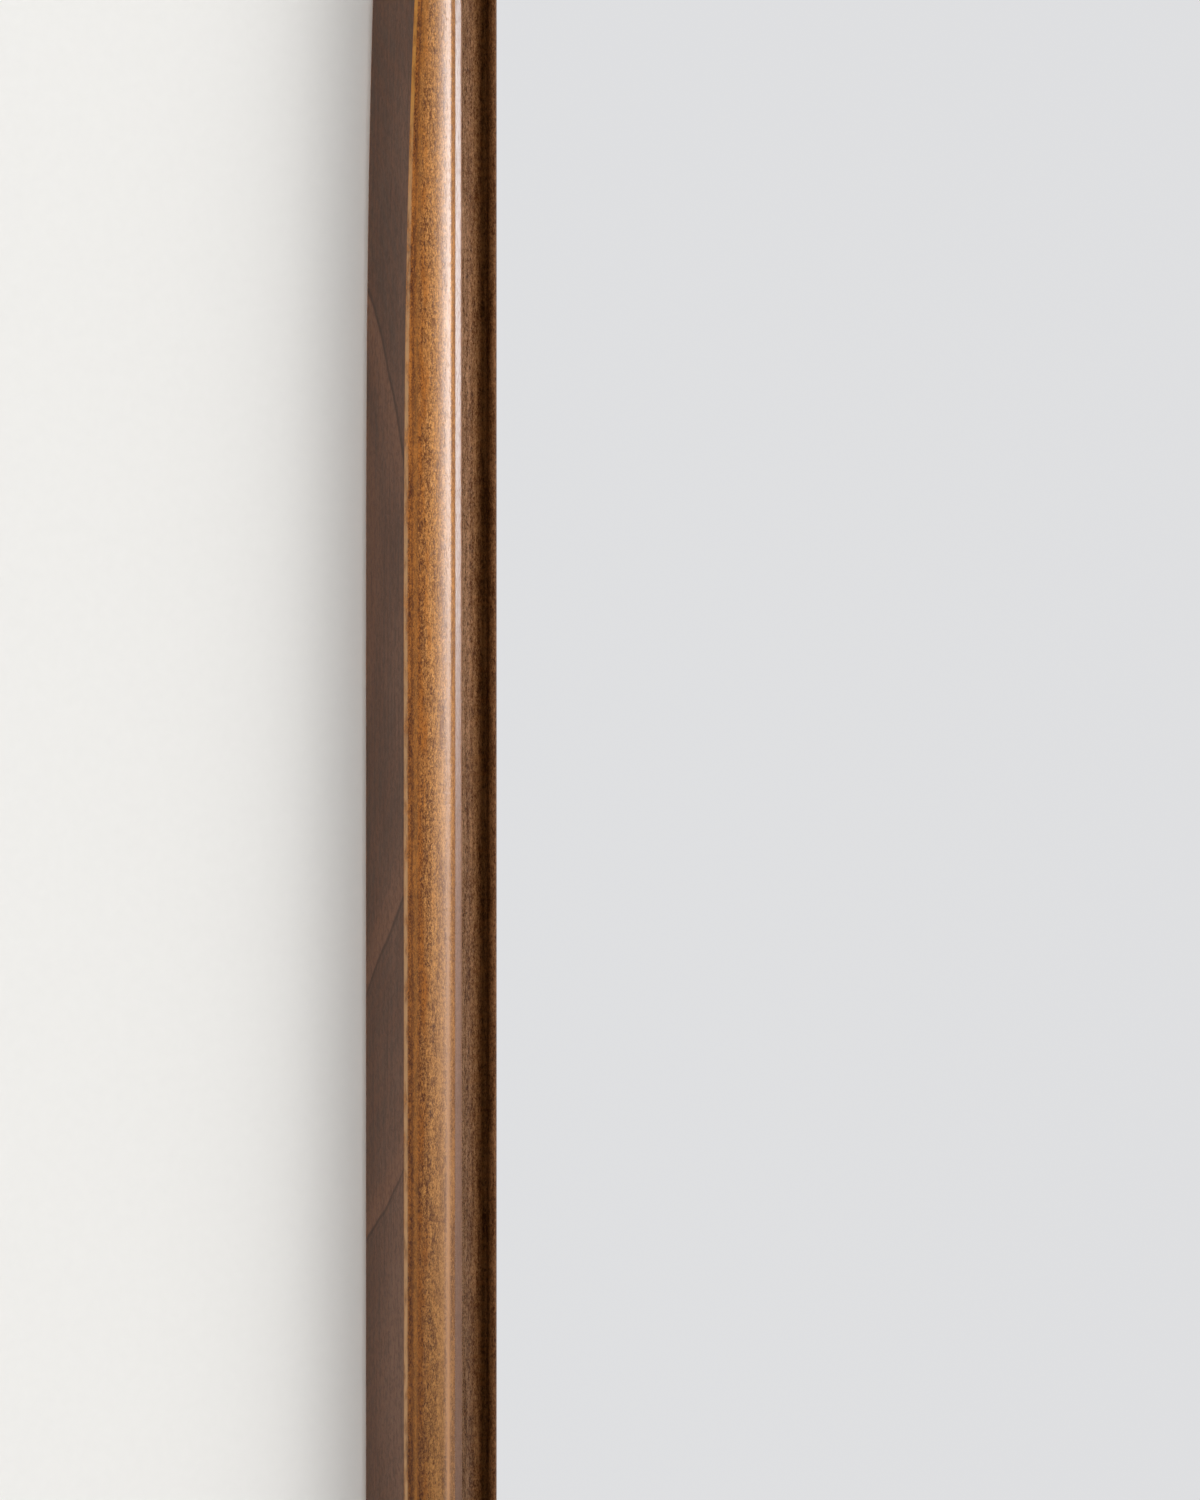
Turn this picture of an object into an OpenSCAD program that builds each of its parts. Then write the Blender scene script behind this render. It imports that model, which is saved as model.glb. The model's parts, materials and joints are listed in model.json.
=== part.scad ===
// Wall mirror in a mitred hardwood frame, hung on a pair of bevelled cleats.
// +Z is up, the mirror faces -Y and the wall is the plane Y = 0.
// The origin is the middle of the wall cleat's line of holes, on the wall.
// A section of the frame is drawn in u and v: u runs outwards from the sight edge, the inner edge
// of the frame beside the glass, and v runs forwards from the frame's back.

/* [Frame] */
// Width of the frame over its outer sides
frame_w = 610; // [560:5:760]
// Height of the frame over its outer sides
frame_h = 914; // [820:2:1200]
// How far each outer side is eased in where it meets the next one
ease_depth = 5.2; // [2:0.2:6]
// Length of outer side, from each corner, that is eased in, as a share of the frame's width
ease_share = 0.467; // [0.3:0.01:0.48]
// Radius of the four corners seen from the front
corner_r = 12; // [8:1:14]

/* [Moulding] */
// Width of the moulding, from the sight edge to the outer side
moulding_w = 38; // [37:0.5:42]
// Height of the crown above the frame's back
moulding_h = 30; // [28:0.5:33]
// Width of the convex crown
crown_w = 13.6; // [12:0.2:15]
// Radius of the convex crown
crown_r = 18; // [16:0.5:22]
// Drop from the crown to the flat fillet inside it
step_h = 2; // [1:0.25:2.75]
// Width of the rounded edge that takes up the drop
step_w = 2.9; // [2.8:0.1:3.4]
// Width of the flat fillet
fillet_w = 2.7; // [2:0.1:4]
// Radius of the hollow cove
cove_r = 15.4; // [14.6:0.2:17]
// Height of the cove's floor above the frame's back
cove_floor = 17.5; // [16.75:0.25:18.5]
// Width of the rounded lip at the sight edge
lip_w = 3; // [2.4:0.1:4]
// Height of the lip above the frame's back
lip_h = 20; // [19:0.25:21]
// Radius of the lip's rounded top
lip_r = 2; // [2:0.1:3]

/* [Rebate] */
// Width of the rebate that holds the glass
rebate_w = 10; // [8:0.5:11]
// Width of the second step, which carries the turn buttons and the hanger cleat
ledge_w = 10; // [9.5:0.5:12]
// Depth of the second step below the frame's back
ledge_v = 6.5; // [6:0.25:7.5]
// Thickness of the mirror glass
glass_t = 4; // [3:0.5:5]
// Room round the glass, which the blocks and spacers fill
glass_gap = 1.5; // [1:0.25:2]
// Thickness of the foam sheet between the glass and the backing board
foam_t = 1; // [0.5:0.25:1.5]
// Thickness of the backing board
board_t = 3; // [2:0.5:4]
// Room round the foam sheet and the backing board
board_gap = 1; // [0.5:0.25:2]
// Length of each setting block under the glass
block_len = 40; // [20:5:60]
// Distance of each setting block's middle from the frame's outer side
block_in = 155; // [100:5:200]
// Length of each spacer beside the glass
spacer_len = 30; // [15:5:60]
// Distance of each spacer's middle from the frame's top or bottom edge
spacer_in = 257; // [200:1:340]

/* [Corner joints] */
// Length of the loose tenon through each mitre
tenon_len = 14; // [10:1:16]
// Width of each loose tenon
tenon_w = 12; // [8:1:13]
// Thickness of each loose tenon
tenon_t = 4; // [3:0.5:5]
// Distance of each loose tenon from the sight edge
tenon_u = 22; // [20.5:0.5:23]
// Height of each loose tenon above the frame's back
tenon_v = 12; // [10:0.5:13]
// Glue gap round a loose tenon
glue_gap = 0.1; // [0.05:0.05:0.2]
// Length of each leg of a corner plate
plate_leg = 50; // [35:5:80]
// Thickness of a corner plate
plate_t = 1.5; // [1.4:0.1:1.8]
// Distance of a corner plate from the step inside it
plate_step = 0.5; // [0.25:0.25:1]
// Distance of a corner plate from the frame's outer sides
plate_out = 8; // [7.5:0.25:8.5]
// Distance of a corner plate's inner screws from its corner's middle
plate_screw_near = 15; // [14:1:20]
// Distance of a corner plate's outer screws from the ends of its legs
plate_screw_end = 5; // [4:0.5:8]

/* [Screws] */
// Radius of a corner plate screw
plate_screw_r = 1.25; // [1.15:0.05:1.5]
// Radius of a corner plate screw's flat head
plate_head_r = 2.5; // [2.3:0.1:2.7]
// Length of a corner plate screw below its head
plate_screw_len = 8; // [6:0.5:8]
// Radius of a hanger cleat screw
cleat_screw_r = 1.75; // [1.5:0.05:2]
// Radius of a hanger cleat screw's flat head
cleat_head_r = 3.5; // [3.2:0.1:3.7]
// Length of a hanger cleat screw below its head
cleat_screw_len = 15; // [12:0.5:16]
// Radius of a turn button's pivot screw
pivot_r = 1.6; // [1.4:0.1:1.8]
// Radius of a pivot screw's pan head
pivot_head_r = 3; // [2.6:0.1:3.4]
// Height of a pivot screw's pan head
pivot_head_h = 1.6; // [1.2:0.1:2]
// Length of a pivot screw in the wood
pivot_len = 9; // [7:1:11]
// Radial room round each screw
screw_fit = 0.05; // [0.03:0.01:0.1]

/* [Turn buttons] */
// Width of a turn button
button_w = 8; // [7:0.5:9]
// Thickness of a turn button
button_t = 1.5; // [1.2:0.1:2]
// Reach of a turn button from its pivot to its tip
button_reach = 14; // [12:0.5:15]
// Room under and over a turn button, so that it turns
button_play = 0.1; // [0.05:0.05:0.2]
// Distance of each stile's end turn buttons from the frame's top and bottom edges
stile_button_in = 157; // [110:1:200]
// Distance of the bottom rail's turn buttons from the frame's outer sides
bottom_button_in = 155; // [90:5:220]
// Distance of the top rail's turn buttons from the frame's outer sides
top_button_in = 47; // [44:1:52]

/* [Hanging cleats] */
// Distance of the cleats' ends from the frame's outer sides
cleat_in = 75; // [70:1:100]
// Room behind the hanger cleat and in front of the wall cleat
cleat_gap = 0.5; // [0.25:0.25:1]
// Height of the hanger cleat's face on the frame
hanger_h = 17; // [14:0.5:20]
// Room between the hanger cleat and the step above it
hanger_step = 0.5; // [0.25:0.25:1]
// Height of the wall cleat's bevel above its holes, at the wall
bevel_z = 16; // [12:0.5:24]
// Height of the wall cleat below its holes
foot_h = 15; // [10:0.5:24]
// Radius of the wall cleat's two holes
wall_hole_r = 2.5; // [2:0.1:2.6]
// Radius of the sinks for the heads of the wall's screws
wall_sink_r = 5; // [4:0.25:6]
// Distance of the wall cleat's holes from its ends
wall_hole_in = 26.8; // [20:0.1:40]
// Distance of the hanger cleat's outer screws from its ends
cleat_screw_end = 25; // [15:1:40]
// Distance of the hanger cleat's inner screws from its ends
cleat_screw_mid = 160; // [100:5:170]

/* [Bumpers] */
// Thickness of the bumpers, which sets how far the frame stands off the wall
bumper_t = 2; // [2:0.1:3]
// Radius of a bumper on the frame
bumper_r = 5; // [4:0.5:6]
// Radius of a bumper on the wall
bumper_tip_r = 4; // [3:0.25:4.5]
// Height of the bumpers above the frame's bottom edge
bumper_up = 80; // [70:5:120]

/* [Hidden] */
$fn = 64;

walnut = [0.42, 0.26, 0.16];
beech = [0.80, 0.65, 0.45];
steel = [0.72, 0.72, 0.70];
brass = [0.74, 0.60, 0.33];
silvered = [0.87, 0.875, 0.88];
hardboard = [0.42, 0.30, 0.20];
foam = [0.93, 0.93, 0.91];
rubber = [0.16, 0.16, 0.16];

// Overshoot of a cut past the face that it opens
spare = 3;
// Straight length between the eased curve and the round corner
corner_run = 2;

// Section of the moulding
crown_u = moulding_w - crown_w;
crown_v = moulding_h - crown_r;
fillet_v = moulding_h - step_h;
cove_v = cove_floor + cove_r;
step_r = (pow(step_w, 2) + pow(step_h, 2)) / (2 * step_h);
cove_u = crown_u - step_w - fillet_w - sqrt(pow(cove_r, 2) - pow(cove_v - fillet_v, 2));
rebate_v = ledge_v + board_t + foam_t + glass_t;
ledge_u = rebate_w + ledge_w;
pivot_u = rebate_w + ledge_w / 2;

// Size of the opening between the sight edges
sight_w = frame_w - 2 * moulding_w;
sight_h = frame_h - 2 * moulding_w;

// Eased outer side: t runs from where the side starts to leave its straight line, towards the
// corner. The last stretch is straight, so that the round corner meets it as a tangent.
EASE_STEPS = 12;
ease_len = ease_share * frame_w;
ease_straight = corner_r + ease_depth + corner_run;
ease_curve = ease_len - ease_straight;
ease_rate = ease_depth / (pow(ease_curve, 2) * (ease_curve + 3 * ease_straight));
ease_slope = 3 * ease_rate * pow(ease_curve, 2);
function ease(t) = ease_rate * pow(t, 3);

// Centre of a round corner, the same distance in from both sides, and the tangent point on one
corner_tilt = norm([1, ease_slope]);
corner_in = (corner_r * corner_tilt + ease_depth) / (1 + ease_slope);
corner_start = [corner_in, corner_in] - corner_r * [1, ease_slope] / corner_tilt;

// Hanging cleats, in distance from the wall and height above the wall cleat's holes
cleat_len = frame_w - 2 * cleat_in;
cleat_t = bumper_t + ledge_v - cleat_gap;
hanger_top = bevel_z + cleat_gap + cleat_t + hanger_h;
frame_top = hanger_top + hanger_step + moulding_w - ledge_u;
middle_z = frame_top - frame_h / 2;

// Screw places
plate_w = moulding_w - ledge_u - plate_step - plate_out;
plate_mid = plate_out + plate_w / 2;
plate_screw_places = [plate_mid + plate_screw_near, plate_out + plate_leg - plate_screw_end];
cleat_screw_places = mirrored([cleat_len / 2 - cleat_screw_end, cleat_len / 2 - cleat_screw_mid]);
stile_button_z = frame_h / 2 - stile_button_in;
stile_button_places = [-stile_button_z, 0, stile_button_z];
top_button_x = frame_w / 2 - top_button_in;
bottom_button_x = frame_w / 2 - bottom_button_in;
function mirrored(places) = concat(places, -places);

// Each side of the frame is drawn as its left side, then turned about the frame's middle
function turn(side) = side == "left" ? 0 : side == "top" ? 90 : side == "right" ? 180 : 270;
function upright(side) = side == "left" || side == "right";
function run(side) = upright(side) ? frame_h : frame_w;
function across(side) = upright(side) ? frame_w : frame_h;

// Puts a piece drawn for the left side of the frame on one of the four sides
module on_side(side) {
    translate([0, -bumper_t, middle_z]) rotate([0, turn(side), 0]) children();
}

// Moves a piece from the outer edge of a side to u, and sinks it forwards to v, pointing forwards
module at(side, u, v, along = 0) {
    translate([moulding_w - u - across(side) / 2, -v, along]) rotate([90, 0, 0]) children();
}

// Puts a piece drawn in the top left corner of a side in one of the frame's corners
module on_corner(right, bottom) {
    translate([0, -bumper_t, middle_z]) mirror([right, 0, 0]) mirror([0, 0, bottom]) children();
}

// Repeats what is drawn at the top end of a side at both of its ends
module both_ends() {
    for (end = [0, 1]) mirror([0, 0, end]) children();
}

// Flat bar with round ends, from the first end's centre to the second's
module round_bar(length, width) {
    circle(r = width / 2);
    translate([length, 0]) circle(r = width / 2);
    translate([0, -width / 2]) square([length, width]);
}

// Flat-headed screw, or with fit the hole that it goes in, from its head's face
module flat_screw(r, head_r, length, fit = 0) {
    cylinder(r1 = head_r + fit, r2 = r + fit, h = head_r - r);
    cylinder(r = r + fit, h = head_r - r + length + 5 * fit);
}

// Section of the moulding, a little too wide at the outer side, which is cut to its outline later
module moulding_section() {
    outer = moulding_w + spare / 2 - crown_u;
    difference() {
        union() {
            intersection() {
                translate([crown_u, crown_v]) circle(r = crown_r);
                translate([crown_u, 0]) square([outer, moulding_h + spare]);
            }
            square([crown_u + outer, crown_v]);
            intersection() {
                translate([crown_u, moulding_h - step_r]) circle(r = step_r);
                translate([crown_u - step_w, fillet_v - spare]) square([step_w, 2 * spare]);
            }
            difference() {
                square([crown_u, fillet_v]);
                translate([cove_u, cove_v]) circle(r = cove_r);
            }
            intersection() {
                translate([lip_w / 2, lip_h - lip_r]) circle(r = lip_r);
                translate([0, cove_floor - spare / 2]) square([lip_w, lip_h]);
            }
            square([lip_w, cove_floor]);
        }
        translate([-spare, -spare]) square([rebate_w + spare, rebate_v + spare]);
        translate([-spare, -spare]) square([ledge_u + spare, ledge_v + spare]);
    }
}

// Outline of one side from the front, with a mitre at each end, about the frame's middle
module side_outline(side) {
    outer = -across(side) / 2;
    end = run(side) / 2;
    inner = moulding_w + spare;
    point = ease_depth / (1 + ease_slope);
    eased = [for (i = [0 : EASE_STEPS]) let (t = ease_curve * i / EASE_STEPS)
        [outer + ease(t), end - ease_len + t]];
    tip = [[outer + point, end - point], [outer + inner, end - inner]];
    flip = [for (p = concat(eased, tip)) [p[0], -p[1]]];
    difference() {
        polygon(concat(eased, tip, [for (i = [len(flip) - 1 : -1 : 0]) flip[i]]));
        for (half = [0, 1]) mirror([0, half])
            translate([outer, end]) difference() {
                polygon([
                    [-spare, spare],
                    [corner_in, -corner_in],
                    [corner_start[0], -corner_start[1]]
                ]);
                translate([corner_in, -corner_in]) circle(r = corner_r);
            }
    }
}

// One side of the frame before its holes are drilled
module side_blank(side) {
    length = run(side) + 2 * spare;
    depth = moulding_h + 2 * spare;
    intersection() {
        translate([moulding_w - across(side) / 2, 0, -length / 2])
            rotate([0, 0, 180])
                linear_extrude(height = length) moulding_section();
        translate([0, spare, 0]) rotate([90, 0, 0]) linear_extrude(height = depth) side_outline(side);
    }
}

// Loose tenon through the mitre in the top left corner, or with gap its mortise
module loose_tenon(side, gap = 0) {
    in = moulding_w - tenon_u;
    length = tenon_len + 2 * gap;
    translate([in - across(side) / 2, -tenon_v, run(side) / 2 - in])
        rotate([0, 45, 0])
            translate([-(tenon_w - tenon_t) / 2, 0, -length / 2])
                linear_extrude(height = length) round_bar(tenon_w - tenon_t, tenon_t + 2 * gap);
}

// Screws of one leg of the top left corner plate, or with fit their holes
module plate_leg_screws(side, fit = 0) {
    for (place = plate_screw_places)
        at(side, moulding_w - plate_mid, -plate_t, run(side) / 2 - place)
            flat_screw(plate_screw_r, plate_head_r, plate_screw_len, fit);
}

// Both legs' screws of the top left corner plate, or with fit their holes
module corner_screws(fit = 0) {
    plate_leg_screws("left", fit);
    rotate([0, 90, 0]) mirror([0, 0, 1]) plate_leg_screws("top", fit);
}

// One side of the frame, with its mortises and its screws' holes
module side_piece(side, button_places) {
    difference() {
        side_blank(side);
        both_ends() loose_tenon(side, glue_gap);
        both_ends() plate_leg_screws(side, screw_fit);
        for (place = button_places)
            at(side, pivot_u, 0, place)
                cylinder(r = pivot_r + screw_fit, h = ledge_v + pivot_len + screw_fit);
        if (side == "top")
            cleat_screws(screw_fit);
    }
}

// Hanger cleat screws on the top side, or with fit their holes
module cleat_screws(fit = 0) {
    for (place = cleat_screw_places)
        at("top", pivot_u, ledge_v - cleat_t, place)
            flat_screw(cleat_screw_r, cleat_head_r, cleat_screw_len, fit);
}

// L-shaped plate across the mitre in the top left corner
module corner_plate() {
    difference() {
        translate([plate_mid - frame_w / 2, plate_t, frame_h / 2 - plate_mid])
            rotate([90, 0, 0])
                linear_extrude(height = plate_t) {
                    round_bar(plate_leg - plate_w, plate_w);
                    rotate(-90) round_bar(plate_leg - plate_w, plate_w);
                }
        corner_screws(screw_fit);
    }
}

// Turn button on one side, with its tip over the backing board
module turn_button(side, along) {
    color(brass) on_side(side) at(side, pivot_u, ledge_v - button_play - button_t, along)
        linear_extrude(height = button_t)
            difference() {
                round_bar(button_reach - button_w / 2, button_w);
                circle(r = pivot_r + screw_fit);
            }
}

// Pan-headed screws that one side's turn buttons turn on
module pivot_screws(side, places) {
    head_v = ledge_v - 2 * button_play - button_t - pivot_head_h;
    for (place = places)
        on_side(side) at(side, pivot_u, head_v, place) {
            cylinder(r = pivot_head_r, h = pivot_head_h);
            cylinder(r = pivot_r, h = ledge_v - head_v + pivot_len);
        }
}

// Flat sheet in the rebate, with its back face at v
module sheet(gap, v, thickness) {
    edge = 2 * (rebate_w - gap);
    on_side("left")
        translate([0, -v - thickness / 2, 0])
            cube([sight_w + edge, thickness, sight_h + edge], center = true);
}

// Block between the edge of the glass and the rebate of one side
module glass_block(side, along, length) {
    on_side(side) at(side, rebate_w, ledge_v + board_t + foam_t, along)
        translate([0, -length / 2, 0]) cube([glass_gap, length, glass_t]);
}

// Extrusion along X of a section drawn in distance from the wall and height
module cleat_extrusion(points) {
    translate([cleat_len / 2, 0, 0]) rotate([0, -90, 0]) mirror([0, 1, 0])
        linear_extrude(height = cleat_len) polygon([for (p = points) [p[1], p[0]]]);
}

// Bumper on the back of a stile near its bottom end
module bumper(side_sign) {
    x = frame_w / 2 - (moulding_w - ledge_u) / 2;
    color(rubber) translate([side_sign * x, 0, frame_top - frame_h + bumper_up]) rotate([90, 0, 0])
        cylinder(r1 = bumper_tip_r, r2 = bumper_r, h = bumper_t);
}

module stile_left() {
    color(walnut) on_side("left") side_piece("left", stile_button_places);
}

module stile_right() {
    color(walnut) on_side("right") side_piece("right", stile_button_places);
}

module rail_top() {
    color(walnut) on_side("top") side_piece("top", mirrored([top_button_x]));
}

module rail_bottom() {
    color(walnut) on_side("bottom") side_piece("bottom", mirrored([bottom_button_x]));
}

module tenon(right, bottom) {
    color(beech) on_corner(right, bottom) loose_tenon("left");
}

module plate(right, bottom) {
    color(steel) on_corner(right, bottom) corner_plate();
}

module corner_plate_screws() {
    color(steel) for (right = [0, 1], bottom = [0, 1]) on_corner(right, bottom) corner_screws();
}

module mirror_glass() {
    color(silvered) sheet(glass_gap, ledge_v + board_t + foam_t, glass_t);
}

module foam_sheet() {
    color(foam) sheet(board_gap, ledge_v + board_t, foam_t);
}

module backing_board() {
    color(hardboard) sheet(board_gap, ledge_v, board_t);
}

module setting_blocks() {
    color(rubber) for (place = mirrored([frame_w / 2 - block_in]))
        glass_block("bottom", place, block_len);
}

module side_spacers() {
    color(rubber) for (side = ["left", "right"], place = mirrored([frame_h / 2 - spacer_in]))
        glass_block(side, place, spacer_len);
}

module turn_button_screws() {
    color(brass) {
        pivot_screws("left", stile_button_places);
        pivot_screws("right", stile_button_places);
        pivot_screws("top", mirrored([top_button_x]));
        pivot_screws("bottom", mirrored([bottom_button_x]));
    }
}

// Cleat on the frame, with its underside bevelled down towards the wall
module hanger_cleat() {
    back = cleat_gap;
    front = cleat_gap + cleat_t;
    color(beech) difference() {
        cleat_extrusion([
            [back, bevel_z + back],
            [front, bevel_z + front],
            [front, hanger_top],
            [back, hanger_top]
        ]);
        on_side("top") cleat_screws(screw_fit);
    }
}

module hanger_cleat_screws() {
    color(steel) on_side("top") cleat_screws();
}

// Cleat on the wall, which the hanger cleat's bevel rests on
module wall_cleat() {
    sink_h = wall_sink_r - wall_hole_r;
    color(beech) difference() {
        cleat_extrusion([
            [0, -foot_h],
            [cleat_t, -foot_h],
            [cleat_t, bevel_z + cleat_t],
            [0, bevel_z]
        ]);
        for (x = mirrored([cleat_len / 2 - wall_hole_in]))
            translate([x, 0, 0]) rotate([90, 0, 0]) {
                translate([0, 0, -spare]) cylinder(r = wall_hole_r, h = cleat_t + 2 * spare);
                translate([0, 0, cleat_t - sink_h])
                    cylinder(r1 = wall_hole_r, r2 = wall_sink_r + spare, h = sink_h + spare);
            }
    }
}

stile_left();
stile_right();
rail_top();
rail_bottom();
tenon(0, 0);  // tenon_top_left
tenon(1, 0);  // tenon_top_right
tenon(0, 1);  // tenon_bottom_left
tenon(1, 1);  // tenon_bottom_right
plate(0, 0);  // corner_plate_top_left
plate(1, 0);  // corner_plate_top_right
plate(0, 1);  // corner_plate_bottom_left
plate(1, 1);  // corner_plate_bottom_right
corner_plate_screws();
mirror_glass();
setting_blocks();
side_spacers();
foam_sheet();
backing_board();
turn_button("left", stile_button_z);  // turn_button_left_top
turn_button("left", 0);  // turn_button_left_middle
turn_button("left", -stile_button_z);  // turn_button_left_bottom
turn_button("right", -stile_button_z);  // turn_button_right_top
turn_button("right", 0);  // turn_button_right_middle
turn_button("right", stile_button_z);  // turn_button_right_bottom
turn_button("top", -top_button_x);  // turn_button_top_left
turn_button("top", top_button_x);  // turn_button_top_right
turn_button("bottom", bottom_button_x);  // turn_button_bottom_left
turn_button("bottom", -bottom_button_x);  // turn_button_bottom_right
turn_button_screws();
hanger_cleat();
hanger_cleat_screws();
wall_cleat();
bumper(-1);  // bumper_left
bumper(1);  // bumper_right
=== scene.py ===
"""Looks of the wall mirror: a swept walnut moulding, silvered glass and the hardware at its back."""

import json
import math

import bpy
from mathutils import Matrix, Vector, geometry, noise

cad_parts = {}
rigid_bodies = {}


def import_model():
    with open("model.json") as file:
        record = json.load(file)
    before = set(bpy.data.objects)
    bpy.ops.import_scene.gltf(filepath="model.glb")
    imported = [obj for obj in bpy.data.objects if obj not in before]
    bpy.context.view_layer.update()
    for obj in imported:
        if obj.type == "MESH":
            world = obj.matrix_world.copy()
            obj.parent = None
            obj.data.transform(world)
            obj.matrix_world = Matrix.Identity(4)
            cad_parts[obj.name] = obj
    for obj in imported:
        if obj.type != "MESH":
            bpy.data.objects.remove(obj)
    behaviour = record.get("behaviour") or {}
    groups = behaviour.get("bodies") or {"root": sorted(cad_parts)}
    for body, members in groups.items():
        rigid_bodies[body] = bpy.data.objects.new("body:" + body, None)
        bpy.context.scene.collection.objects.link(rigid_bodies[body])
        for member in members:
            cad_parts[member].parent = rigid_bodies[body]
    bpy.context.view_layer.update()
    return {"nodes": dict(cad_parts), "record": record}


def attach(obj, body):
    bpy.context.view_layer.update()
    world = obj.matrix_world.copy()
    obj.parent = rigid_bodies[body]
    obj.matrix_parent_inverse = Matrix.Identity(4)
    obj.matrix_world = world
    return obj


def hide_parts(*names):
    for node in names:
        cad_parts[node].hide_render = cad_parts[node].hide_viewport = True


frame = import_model()

MM = 0.001

# The frame and its moulding in millimetres, as in the part's source: u is the distance from the
# sight edge and v the one from the back
FRAME_W = 610.0
FRAME_H = 914.0
MOULDING_W = 38.0
MOULDING_H = 30.0
CROWN_W = 13.6
CROWN_R = 18.0
STEP_W = 2.9
STEP_H = 2.0
FILLET_W = 2.7
COVE_R = 15.4
COVE_FLOOR = 17.5
LIP_W = 3.0
LIP_H = 20.0
LIP_R = 2.0
REBATE_W = 10.0
LEDGE_W = 10.0
LEDGE_V = 6.5
SHEETS_T = 8.0
BUMPER_T = 2.0
LIFT = 30.0

CROWN_U = MOULDING_W - CROWN_W
CROWN_V = MOULDING_H - CROWN_R
STEP_R = (STEP_W**2 + STEP_H**2) / (2 * STEP_H)
FILLET_U = CROWN_U - STEP_W - FILLET_W
FILLET_V = MOULDING_H - STEP_H
COVE_V = COVE_FLOOR + COVE_R
COVE_U = round(FILLET_U - math.sqrt(COVE_R**2 - (COVE_V - FILLET_V) ** 2), 3)
LIP_V = LIP_H - LIP_R
REBATE_V = LEDGE_V + SHEETS_T
LEDGE_U = REBATE_W + LEDGE_W

# Turn buttons and their pivot screws
PIVOT_U = REBATE_W + LEDGE_W / 2
PIVOT_R = 1.6
PIVOT_HEAD_R = 3.0
PIVOT_HEAD_H = 1.6
PIVOT_LEN = 9.0
SCREW_FIT = 0.1
BUTTON_W = 8.0
BUTTON_T = 1.5
BUTTON_ARM = 10.0
BUTTON_PLAY = 0.1
STILE_BUTTONS = {"top": 300.0, "middle": 0.0, "bottom": -300.0}
TOP_BUTTON_X = FRAME_W / 2 - 47
BOTTOM_BUTTON_X = FRAME_W / 2 - 155

# Corner plates, with a screw's shank radius, head radius and length
PLATE_T = 1.5
PLATE_EASE = 0.15
PLATE_LEG = 50.0
PLATE_OUT = 8.0
PLATE_STEP = 0.5
PLATE_W = MOULDING_W - LEDGE_U - PLATE_STEP - PLATE_OUT
PLATE_MID = PLATE_OUT + PLATE_W / 2
PLATE_SCREW_PLACES = (PLATE_MID + 15, PLATE_OUT + PLATE_LEG - 5)
PLATE_SCREW = (1.25, 2.5, 8.0)

# Cleats, with heights from the wall cleat's holes
CLEAT_GAP = 0.5
CLEAT_T = BUMPER_T + LEDGE_V - CLEAT_GAP
CLEAT_LEN = FRAME_W - 150
CLEAT_EASE = 0.5
CLEAT_SCREW = (1.75, 3.5, 15.0)
BEVEL_Z = 16.0
FOOT_H = 15.0
HANGER_H = 17.0
HANGER_STEP = 0.5
HANGER_TOP = BEVEL_Z + CLEAT_GAP + CLEAT_T + HANGER_H
FRAME_TOP = HANGER_TOP + HANGER_STEP + MOULDING_W - LEDGE_U
MIDDLE_Z = FRAME_TOP - FRAME_H / 2
CLEAT_SCREW_PLACES = (-205.0, -70.0, 70.0, 205.0)
CLEAT_SCREW_Z = FRAME_TOP - MOULDING_W + PIVOT_U
WALL_HOLE_X = 203.2
WALL_HOLE_R = 2.5
WALL_SINK_R = 5.0

# Bumpers
BUMPER_X = FRAME_W / 2 - (MOULDING_W - LEDGE_U) / 2
BUMPER_Z = FRAME_TOP - FRAME_H + 80
BUMPER_R = 5.0
BUMPER_TIP_R = 4.0

# The outer sides ease in over a share of the width, in a curve and then straight, up to the
# round corners
EASE_DEPTH = 5.2
EASE_SHARE = 0.467
CORNER_R = 12.0
CORNER_RUN = 2.0
EASE_LEN = EASE_SHARE * FRAME_W
EASE_STRAIGHT = CORNER_R + EASE_DEPTH + CORNER_RUN
EASE_CURVE = EASE_LEN - EASE_STRAIGHT
EASE_RATE = EASE_DEPTH / (EASE_CURVE**2 * (EASE_CURVE + 3 * EASE_STRAIGHT))
EASE_SLOPE = 3 * EASE_RATE * EASE_CURVE**2
CORNER_TILT = math.hypot(1, EASE_SLOPE)
CORNER_IN = (CORNER_R * CORNER_TILT + EASE_DEPTH) / (1 + EASE_SLOPE)
CORNER_START = CORNER_IN - CORNER_R * EASE_SLOPE / CORNER_TILT

# How far the outer arris is rounded, in millimetres: the mean and how much it varies
WEAR_MEAN = 0.62
WEAR_SWING = 0.3

QUARTER_TURNS = {"left": 0, "top": 1, "right": 2, "bottom": 3}


def run(side):
    return FRAME_H if side in ("left", "right") else FRAME_W


def across(side):
    return FRAME_W if side in ("left", "right") else FRAME_H


def trim(from_end):
    """How far the outer side lies inside its straight line, at a distance from the corner."""
    if from_end >= EASE_LEN:
        return 0.0
    if from_end < CORNER_START:
        reach = min(CORNER_R, CORNER_IN - from_end)
        return CORNER_IN - math.sqrt(CORNER_R**2 - reach**2)
    t = EASE_LEN - from_end
    if t < EASE_CURVE:
        return EASE_RATE * t**3
    return EASE_DEPTH - EASE_SLOPE * from_end


def side_point(side, u, v, along):
    """A point of a side's section, in metres in the shared frame."""
    x, z = MOULDING_W - u - across(side) / 2, along
    for _ in range(QUARTER_TURNS[side]):
        x, z = z, -x
    return Vector((x, -(v + BUMPER_T), MIDDLE_Z + z)) * MM


# Meshes


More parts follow.
